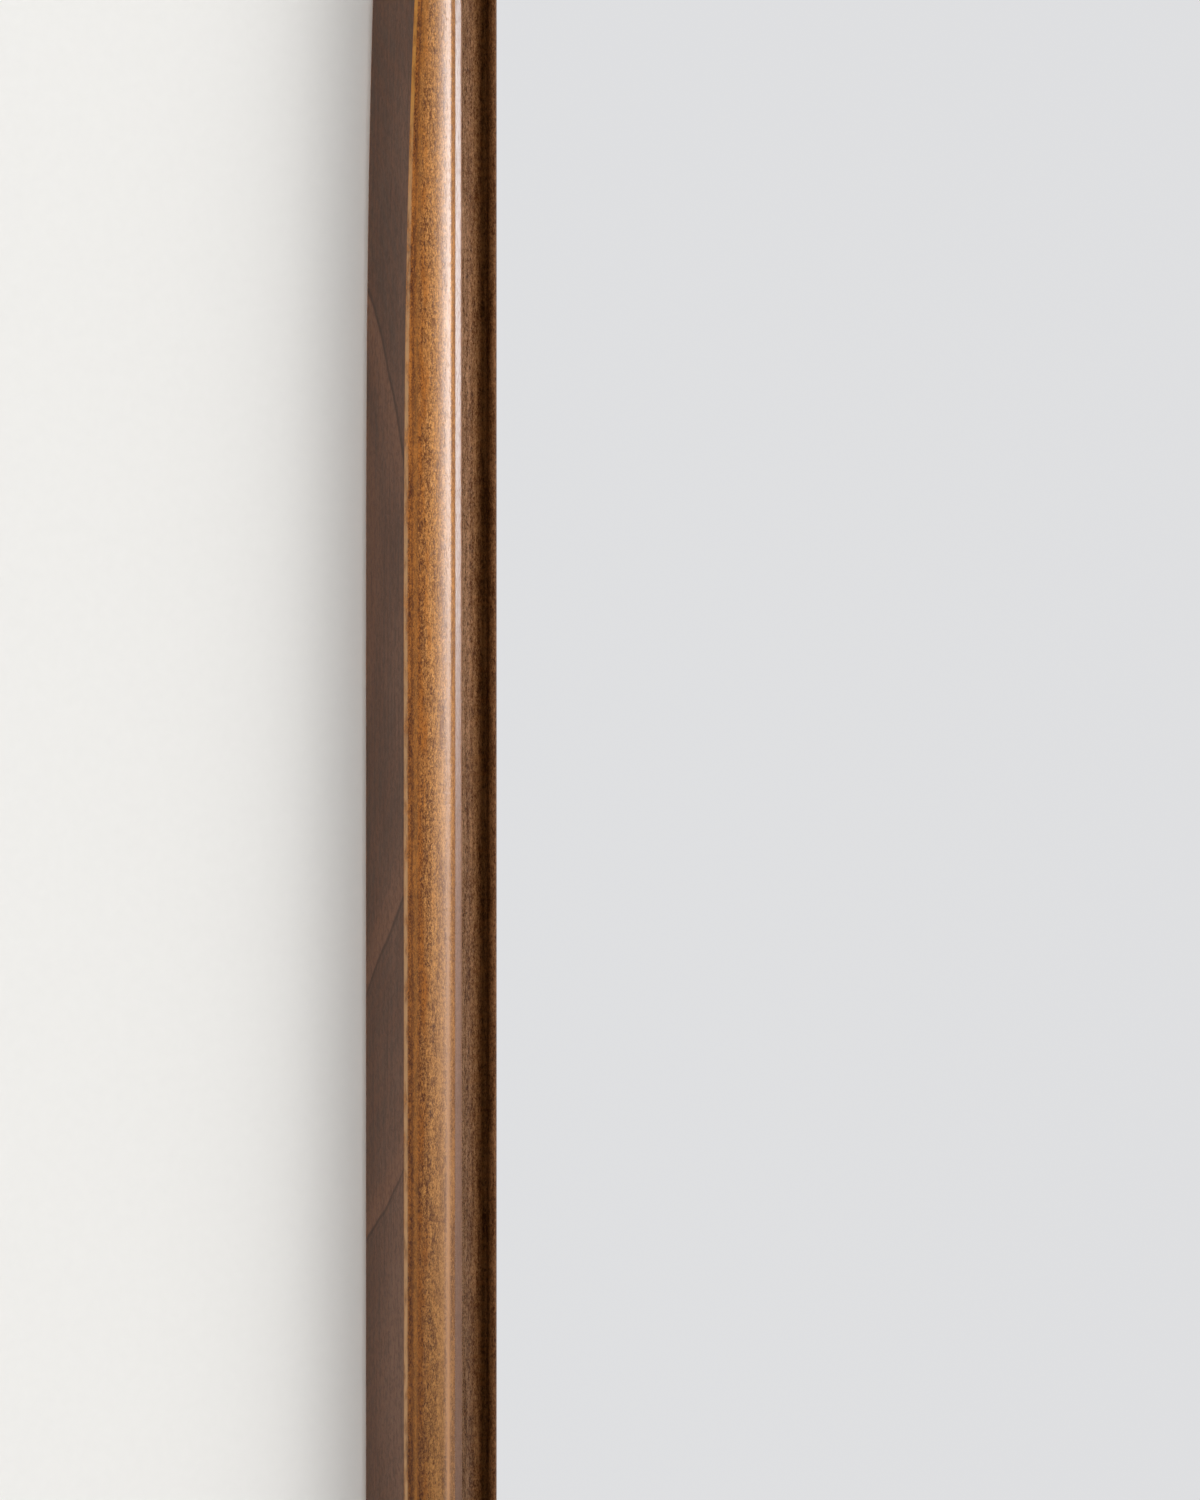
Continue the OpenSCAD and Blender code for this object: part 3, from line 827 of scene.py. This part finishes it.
        # The ramp carries painted shade in the crease and painted light on the step and crown
        stain_and_shade = self.ramp(self.math("DIVIDE", self.plus(self.u, wander), STAIN_AND_SHADE_SPAN), stops)
        body = self.mix(1.0, stain_and_shade, tone, "MULTIPLY")
        body = self.mix(1.0, body, self.swing(), "MULTIPLY")
        body = self.mix(self.times(self.late, 0.12), body, FRONT_LATE)
        open_grain = self.times(self.pore, self.plus(self.times(self.cove, 0.45), 0.5))
        open_grain = self.times(open_grain, self.minus(1.0, self.times(self.even, 0.9)))
        body = self.mix(open_grain, body, FRONT_PORE)
        return self.mix(self.span(self.ripple, 0.45, 0.7, 0.0, 0.15), body, FRONT_RIPPLE)

    def swing(self):
        """A grey that multiplies the front, and swings more beyond the lip than on it."""
        turn = self.times(self.minus(self.length, SWING_CENTRE), math.pi / SWING_HALF)
        wave = self.times(self.math("COSINE", turn), self.span(self.u, 5.0, 12.0, 0.10, 0.31))
        tone = self.plus(wave, self.span(self.u, 5.0, 12.0, 0.95, 0.82))
        return self.join(tone, tone, tone)

    def rubbed_arris_and_lit_step(self, body):
        """The arris is rubbed tan where it is sharp and orange where the outline eases away, and the
        crown's top by the step is painted paler for the light on it.
        """
        worn = self.span(self.grain(2, 0.6, (0.5, 0.5, 0.12)), 0.3, 0.6, 0.35, 1.0)
        arris = self.times(self.times(self.span(self.inward, 0.5, 1.0, 1.0, 0.0), self.front), worn)
        under = self.times(self.bump_at(self.inward, 1.75, 0.5), self.front)
        beyond = self.times(self.bump_at(self.inward, 2.7, 1.0), self.front)
        body = self.mix(self.times(under, 0.45), body, ARRIS_UNDER)
        body = self.mix(self.times(beyond, 0.35), body, ARRIS_BEYOND)
        # Painted light on the crown's top by the step
        body = self.mix(self.times(self.bump_at(self.u, 25.3, 1.1), 0.8), body, CROWN_TOP_LIT)
        edge = self.mix(self.span(self.outer, 36.2, 37.3), ARRIS_ORANGE, ARRIS_TAN)
        return self.mix(self.times(arris, 0.85), body, edge)

    def dark_side(self):
        """The outer side, painted darker than the front for the shade on it, and paler towards the front
        and lower down.
        """
        dark = self.ramp(self.streak, SIDE_STREAKS)
        dark = self.mix(self.span(self.bands, 0.42, 0.6, 0.0, 0.5), dark, SIDE_BAND)
        cloud = self.span(self.grain(2, 0.5, (0.05, 0.05, 0.02)), 0.4, 0.6, 0.0, 0.2)
        paling = self.plus(self.span(self.z, -70.0, 110.0, 0.58, 0.14), cloud)
        dark = self.mix(self.times(self.span(self.v, 2.0, 23.0, 0.2, 1.0), paling), dark, SIDE_PALE)
        dark = self.mix(self.times(self.early, 0.55), dark, SIDE_EARLY)
        dark = self.mix(self.times(self.late, 0.55), dark, SIDE_LATE)
        dark = self.mix(self.span(self.fibre, 0.5, 0.65, 0.0, 0.26), dark, SIDE_FIBRE)
        return self.mix(self.span(self.mottle, 0.44, 0.60, 0.0, 0.40), dark, SIDE_MOTTLE)

    def planed_wood(self):
        """The back and the rebate are planed and bare."""
        raw = self.ramp(self.fibre, BARE_FIBRES)
        raw = self.mix(self.times(self.late, 0.4), raw, BARE_LATE)
        return self.mix(self.times(self.pore, 0.5), raw, BARE_PORE)

    def matt(self):
        """Where the clear coat is thin: on bare wood, from the lip into the cove, on the crown's
        outer part and lower down on it, and by half on the side."""
        waxed = self.times(self.span(self.u, 0.2, 1.5), self.span(self.u, 6.5, 14.0, 1.0, 0.0))
        waxed = self.larger(waxed, self.span(self.u, 28.5, 33.5, 0.0, 0.6))
        handled = self.times(self.span(self.z, -110.0, 190.0, 0.65, 0.0), self.span(self.u, 25.8, 27.4))
        waxed = self.larger(waxed, handled)
        return self.larger(self.larger(self.bare, waxed), self.times(self.side, 0.5))

    def lacquer(self, body):
        height = self.plus(self.times(self.pore, -0.6), self.times(self.fibre, 0.5))
        height = self.plus(height, self.times(self.plus(self.mottle, self.speck), 0.5))
        coat_height = self.plus(height, self.times(self.ripple, 0.6))
        silky = self.times(self.span(self.z, 90.0, 240.0, 0.0, 0.07), self.span(self.u, 24.8, 27.0))
        rough = self.span(self.plus(self.mottle, self.times(self.bare, 0.6)), 0.2, 1.2, 0.35, 0.6)
        return self.finish(
            body,
            self.bump(height, 0.00008, 0.55),
            Roughness=rough,
            Specular_IOR_Level=self.times(self.bare, 0.5),
            Coat_Weight=self.minus(1.0, self.matt()),
            Coat_Roughness=self.minus(self.span(self.u, 24.2, 27.5, 0.20, 0.38), silky),
            Coat_IOR=1.6,
            Coat_Normal=self.bump(coat_height, 0.00005, 0.6),
        )


def walnut(name, shift):
    wood = Walnut(name, shift)
    body = wood.rubbed_arris_and_lit_step(wood.stained_and_shaded_front())
    body = wood.mix(wood.side, body, wood.dark_side())
    return wood.lacquer(wood.mix(wood.bare, body, wood.planed_wood()))


def plain(name, colour, rough, scale, amount, relief, metal=0.0, stretch=None):
    """A surface whose colour varies by amount, in spots of a scale, with relief in metres."""
    g = new_graph(name)
    place = g.objects()
    fine = g.noise(place, scale, 3, 0.6, stretch)
    broad = g.noise(place, scale * 0.08, 2, 0.5)
    dark = tuple(c * (1 - amount) for c in colour)
    light = tuple(min(1.0, c * (1 + amount)) for c in colour)
    both = g.plus(g.times(fine, 0.6), g.times(broad, 0.4))
    mixed = g.ramp(both, [(0.3, dark), (0.7, light)])
    roughness = g.span(fine, 0.2, 0.8, max(0.02, rough - 0.08), min(1.0, rough + 0.08))
    return g.finish(mixed, g.bump(fine, relief, 0.5), Roughness=roughness, Metallic=metal)


def beech(name, along):
    """Planed beech: pale, with short dark flecks along the grain."""
    g = new_graph(name)
    place = g.objects()
    long = tuple(60.0 if k == along else 900.0 for k in range(3))
    fleck = tuple(220.0 if k == along else 2600.0 for k in range(3))
    grain = g.noise(place, 1.0, 4, 0.6, long)
    rays = g.span(g.noise(place, 1.0, 2, 0.6, fleck), 0.62, 0.7)
    colour = g.ramp(grain, [(0.3, (0.47, 0.285, 0.145)), (0.7, (0.64, 0.43, 0.25))])
    colour = g.mix(g.times(rays, 0.55), colour, (0.30, 0.16, 0.08))
    return g.finish(colour, g.bump(grain, 0.00006, 0.5), Roughness=0.55)


def hardboard(name):
    """Brown hardboard, pressed from fibres, with a smooth back face."""
    g = new_graph(name)
    place = g.objects()
    fibres = g.noise(place, 900.0, 4, 0.7, None, 1.5)
    cloud = g.noise(place, 14.0, 3, 0.5)
    specks = g.span(g.noise(place, 2200.0, 2, 0.6), 0.66, 0.74)
    drag = g.noise(place, 1.0, 3, 0.6, (900.0, 900.0, 40.0))
    mixed = g.plus(g.times(fibres, 0.55), g.times(cloud, 0.15))
    mixed = g.plus(mixed, g.times(drag, 0.3))
    colour = g.ramp(mixed, [(0.36, (0.11, 0.058, 0.029)), (0.64, (0.23, 0.135, 0.074))])
    colour = g.mix(g.times(specks, 0.5), colour, (0.30, 0.20, 0.12))
    return g.finish(colour, g.bump(fibres, 0.00005, 0.6), Roughness=g.span(fibres, 0.2, 0.8, 0.42, 0.62))


def silvered(name):
    """Silver seen through float glass."""
    g = new_graph(name)
    soft = g.noise(g.objects(), 2.0, 1, 0.4)
    colour = g.ramp(soft, [(0.2, (0.945, 0.95, 0.955)), (0.8, (0.955, 0.96, 0.962))])
    return g.finish(colour, Metallic=1.0, Roughness=0.0, Coat_Weight=0.0)


# One material for each slot but walnut, which has one for each side
MATERIALS = {
    "steel": plain("zinc_plated_steel", (0.50, 0.51, 0.52), 0.32, 500.0, 0.16, 0.000004, 1.0),
    "brass": plain("brass_plate", (0.70, 0.49, 0.21), 0.25, 400.0, 0.06, 0.0000015, 1.0, (1.0, 1.0, 0.2)),
    "rubber": plain("rubber", (0.028, 0.028, 0.029), 0.62, 1500.0, 0.2, 0.00005),
    "foam": plain("foam", (0.80, 0.80, 0.77), 0.85, 1800.0, 0.1, 0.0001),
    "hardboard": hardboard("hardboard"),
    "silvered_glass": silvered("silvered_glass"),
    "beech": beech("beech", 0),
}

# The object's pieces

FRAME_NODES = {"left": "stile_left", "top": "rail_top", "right": "stile_right", "bottom": "rail_bottom"}
PLATE_SIDES = {"top_left": "left", "top_right": "top", "bottom_right": "right", "bottom_left": "bottom"}
# From millimetres across, up and away from the wall to the shared frame
UPRIGHT = Matrix.Scale(MM, 4) @ Matrix.Rotation(math.pi / 2, 4, "X")


def add_frame():
    for number, (side, node) in enumerate(FRAME_NODES.items()):
        shift = (number * 31.0, number * 17.0, number * 173.0)
        wood = walnut("walnut_" + side, shift)
        add_object("frame_" + side, build_side(side, number), wood, "mirror", node)


def dress_cad_nodes():
    """Gives every CAD node but the frame's own the material of its slot in the record."""
    slots = {p["node"]: p["material_slot"] for p in frame["record"]["subparts"]}
    for node, obj in frame["nodes"].items():
        if slots[node] != "walnut":
            obj.data.materials.clear()
            obj.data.materials.append(MATERIALS[slots[node]])


def add_plates():
    for name, side in PLATE_SIDES.items():
        place = side_frame(side, MOULDING_W - PLATE_MID, -PLATE_T, run(side) / 2 - PLATE_MID)
        plate = placed(corner_plate_shape(), place)
        add_hardware("plate_" + name, "corner_plate_" + name, "mirror", "steel", 30, [plate])


def add_cleats():
    wall_cleat = placed(wall_cleat_shape(), UPRIGHT)
    add_hardware("dressed_wall_cleat", "wall_cleat", "wall_cleat", "beech", 30, [wall_cleat])
    hanger = placed(hanger_cleat_shape(), UPRIGHT @ Matrix.Translation((0, 0, CLEAT_GAP)))
    add_hardware("dressed_hanger_cleat", "hanger_cleat", "mirror", "beech", 30, [hanger])


def button_places():
    """Each turn button's side and its place along it."""
    places = {}
    for side, end in (("left", 1), ("right", -1)):
        for name, z in STILE_BUTTONS.items():
            places["turn_button_%s_%s" % (side, name)] = (side, z * end)
    for side, out in (("top", TOP_BUTTON_X), ("bottom", -BOTTOM_BUTTON_X)):
        places["turn_button_%s_left" % side] = (side, -out)
        places["turn_button_%s_right" % side] = (side, out)
    return places


def add_buttons():
    """The turn buttons, and their pivot screws with the drivers' crosses turned unalike."""
    pivots = []
    for node, (side, along) in button_places().items():
        place = side_frame(side, PIVOT_U, LEDGE_V - BUTTON_PLAY - BUTTON_T, along)
        button = placed(turn_button_shape(), place)
        add_hardware("dressed_" + node, node, node, "brass", 40, [button])
        turn = Matrix.Rotation(along * 1.7 + QUARTER_TURNS[side], 4, "Z")
        pivots.append(placed(pan_screw(), side_frame(side, PIVOT_U, pan_head_v(), along) @ turn))
    add_hardware("pivot_screws", "turn_button_screws", "mirror", "brass", 30, pivots)


def add_plate_screws():
    screws = []
    for side in QUARTER_TURNS:
        for place in PLATE_SCREW_PLACES:
            for end in (-1, 1):
                along = end * (run(side) / 2 - place)
                turn = Matrix.Rotation(along * 0.9 + QUARTER_TURNS[side], 4, "Z")
                at = side_frame(side, MOULDING_W - PLATE_MID, -PLATE_T, along)
                screws.append(placed(flat_screw(*PLATE_SCREW), at @ turn))
    add_hardware("plate_screws", "corner_plate_screws", "mirror", "steel", 30, screws)


def add_cleat_screws():
    screws = []
    for along in CLEAT_SCREW_PLACES:
        at = side_frame("top", PIVOT_U, LEDGE_V - CLEAT_T, along)
        screws.append(placed(flat_screw(*CLEAT_SCREW), at @ Matrix.Rotation(along, 4, "Z")))
    add_hardware("cleat_screws", "hanger_cleat_screws", "mirror", "steel", 30, screws)


def add_bumpers():
    for node, x in (("bumper_left", -BUMPER_X), ("bumper_right", BUMPER_X)):
        place = Matrix.Scale(MM, 4) @ Matrix.Translation((x, 0, BUMPER_Z))
        foot = placed(bumper_shape(), place @ Matrix.Rotation(math.pi / 2, 4, "X"))
        add_hardware("dressed_" + node, node, "mirror", "rubber", 50, [foot])


# Camera, in millimetres

CENTRE_AZIMUTH = math.radians(33.7)
CAMERA_DISTANCE = 2200.0
AIM = Vector((-227.66, -22.36, -241.1))


def add_camera():
    toward = Vector((-math.sin(CENTRE_AZIMUTH), -math.cos(CENTRE_AZIMUTH), 0))
    camera = bpy.data.objects.new("camera", bpy.data.cameras.new("camera"))
    bpy.context.scene.collection.objects.link(camera)
    camera.location = (AIM + toward * CAMERA_DISTANCE) * MM
    camera.rotation_euler = (-toward).to_track_quat("-Z", "Y").to_euler()
    camera.data.lens = 162.0
    camera.data.sensor_width = 36.0
    camera.data.clip_start = 0.05
    camera.data.clip_end = 100
    bpy.context.scene.camera = camera


# Wall and floor, in metres unless said otherwise

WALL_COLOUR = (0.86, 0.852, 0.832)
FLOOR_COLOUR = (0.72, 0.715, 0.70)
FLOOR_Z = -2.1
WALL_Y = 0.0003
STAGE_REACH = 11.0
WALL_MIDDLE_Z = -0.4
# How far the wall runs in under the frame, in millimetres
WALL_UNDER = 4.0


def one_sided(name, colour, camera_only=False):
    """Matt paint that can't be seen, and casts nothing, from behind."""
    g = new_graph(name)
    fine = g.noise(g.objects(), 260.0, 3, 0.6)
    dark = tuple(c * 0.985 for c in colour)
    g.finish(g.ramp(fine, [(0.3, dark), (0.7, colour)]), g.bump(fine, 0.00004, 0.3), Roughness=0.9)
    g.put(g.shader.inputs["Specular IOR Level"], 0.2)
    clear = g.node("ShaderNodeBsdfTransparent").outputs[0]
    hidden = g.node("ShaderNodeNewGeometry").outputs["Backfacing"]
    if camera_only:
        seen = g.node("ShaderNodeLightPath").outputs["Is Camera Ray"]
        hidden = g.larger(hidden, g.minus(1.0, seen))
    seen_or_clear = g.feed(g.node("ShaderNodeMixShader"), hidden, g.shader.outputs[0], clear)
    g.put(g.tree.nodes["Material Output"].inputs["Surface"], seen_or_clear)
    return g.owner


def outline_inside(inset_by):
    """The frame's outline seen from the front, moved in, in millimetres about its middle."""
    steps, r = 24, CORNER_R - inset_by
    centre_x, centre_z = FRAME_W / 2 - CORNER_IN, FRAME_H / 2 - CORNER_IN
    heights = [centre_z * k / steps for k in range(steps + 1)]
    widths = [centre_x * k / steps for k in range(steps, -1, -1)]
    turns = [math.radians(10 * k + 5) for k in range(9)]
    quarter = [(FRAME_W / 2 - trim(FRAME_H / 2 - z) - inset_by, z) for z in heights]
    quarter += [(centre_x + r * math.cos(a), centre_z + r * math.sin(a)) for a in turns]
    quarter += [(x, FRAME_H / 2 - trim(FRAME_W / 2 - x) - inset_by) for x in widths]
    right = quarter + [(-x, z) for x, z in reversed(quarter[:-1])]
    return right + [(x, -z) for x, z in reversed(right[1:-1])]


def flat_sheet(name, verts, faces, material):
    """A one-sided sheet, turned so that it is seen from the front or from above."""
    mesh = bpy.data.meshes.new(name)
    mesh.from_pydata([tuple(v) for v in verts], [], faces)
    if mesh.polygons[0].normal.dot((0, -1, 1)) < 0:
        mesh.flip_normals()
    return add_object(name, mesh, material)


def add_stage():
    """A wall with an opening behind the frame, a patch in it for the camera alone, and a floor.

    The opening reaches up by as much as the mirror lifts."""
    inner = []
    for x, z in outline_inside(WALL_UNDER):
        inner.append(Vector((x, WALL_Y / MM, MIDDLE_Z + z + (LIFT if z > 0 else 0))) * MM)
    wider, taller = STAGE_REACH / (FRAME_W / 2 * MM), STAGE_REACH / (FRAME_H / 2 * MM)
    outer = []
    for p in inner:
        z = WALL_MIDDLE_Z + (p.z - WALL_MIDDLE_Z) * taller
        outer.append(Vector((p.x * wider, WALL_Y, max(FLOOR_Z, z))))
    count = len(inner)
    around = [(i, (i + 1) % count, count + (i + 1) % count, count + i) for i in range(count)]
    wall = flat_sheet("wall", inner + outer, around, one_sided("wall_paint", WALL_COLOUR))
    patch_paint = one_sided("patch_paint", WALL_COLOUR, camera_only=True)
    patch = flat_sheet("wall_patch", inner, [tuple(range(count))], patch_paint)
    quarters = ((-1, -1), (1, -1), (1, 1), (-1, 1))
    ground = [(x * STAGE_REACH, y * STAGE_REACH, FLOOR_Z) for x, y in quarters]
    floor = flat_sheet("floor", ground, [(0, 1, 2, 3)], one_sided("floor_paint", FLOOR_COLOUR))


# Light, in metres

KEY_AZIMUTH = math.radians(23.8)
KEY_DISTANCE = 2.6
KEY_WIDTH = 1.15
KEY_HEIGHT = 0.62
KEY_RADIANCE = 14.0
KEY_LOW_Z = -0.18
KEY_TARGET = Vector((-0.28, 0.0, -0.24))
# How bright the soft light in front is, from the left (-1) to the right (1)
FRONT_LEVELS = [(-0.9, 1.16), (-0.3, 1.0), (0.1, 0.75), (0.35, 1.15), (0.65, 2.4), (0.85, 1.7), (1.0, 0.75)]
# Where the soft light behind is brightest
REAR_LIGHT = (-0.45, 0.65, 0.61)


def add_key_lamp():
    """A lamp for gloss alone, kept out of the glass."""
    data = bpy.data.lights.new("key", "AREA")
    data.shape = "RECTANGLE"
    data.size = KEY_WIDTH
    data.size_y = KEY_HEIGHT
    data.energy = KEY_RADIANCE * math.pi * KEY_WIDTH * KEY_HEIGHT
    data.color = (0.965, 0.98, 1.0)
    key = bpy.data.objects.new("key", data)
    bpy.context.scene.collection.objects.link(key)
    away = Vector((math.sin(KEY_AZIMUTH), -math.cos(KEY_AZIMUTH), 0.0))
    key.location = KEY_TARGET + away * KEY_DISTANCE
    key.location.z = KEY_LOW_Z + KEY_HEIGHT / 2
    key.rotation_euler = (KEY_TARGET - key.location).to_track_quat("-Z", "Y").to_euler()
    key.visible_diffuse = False
    glass_only = bpy.data.collections.new("without_lamp")
    glass_only.objects.link(frame["nodes"]["mirror_glass"])
    key.light_linking.receiver_collection = glass_only
    glass_only.collection_objects[0].light_linking.link_state = "EXCLUDE"


def add_surroundings():
    """Soft light from all round, with what gloss and the camera see of it kept apart."""
    world = bpy.data.worlds.new("world")
    bpy.context.scene.world = world
    w = Graph(world)
    w.tree.nodes.clear()
    direction = w.node("ShaderNodeTexCoord").outputs["Generated"]
    sideways, depth, height = w.split(direction)
    behind = w.span(depth, -0.02, 0.02)

    # What the glass shows: palest where it looks in the photograph's view
    mirrored = (math.sin(CENTRE_AZIMUTH), -math.cos(CENTRE_AZIMUTH), 0)
    ahead = w.ramp(
        w.span(w.along(direction, mirrored), 0.84, 0.985),
        [(0.0, (0.40, 0.40, 0.41)), (1.0, (0.773, 0.774, 0.786))],
    )
    rear = w.ramp(
        w.span(w.along(direction, REAR_LIGHT), -0.2, 0.95),
        [(0.0, (0.34, 0.34, 0.35)), (1.0, (1.3, 1.3, 1.3))],
    )
    gloss = w.mix(behind, ahead, rear)

    # What lights the surfaces
    spread = [((at + 1) / 2, (level, level, level)) for at, level in FRONT_LEVELS]
    soft = w.mix(behind, w.ramp(w.span(sideways, -1.0, 1.0, smooth=False), spread), rear)

    path = w.node("ShaderNodeLightPath").outputs
    light = w.mix(w.larger(path["Is Glossy Ray"], path["Is Transmission Ray"]), soft, gloss)
    pale = w.ramp(w.span(height, 0.0, 0.35), [(0.0, (0.80, 0.80, 0.79)), (1.0, (0.85, 0.85, 0.845))])
    light = w.mix(path["Is Camera Ray"], light, pale)
    background = w.feed(w.node("ShaderNodeBackground"), light)
    w.put(w.node("ShaderNodeOutputWorld").inputs["Surface"], background)


add_frame()
dress_cad_nodes()
add_plates()
add_cleats()
add_buttons()
add_plate_screws()
add_cleat_screws()
add_bumpers()
add_camera()
add_stage()
add_key_lamp()
add_surroundings()
bpy.context.scene.view_settings.view_transform = "Standard"
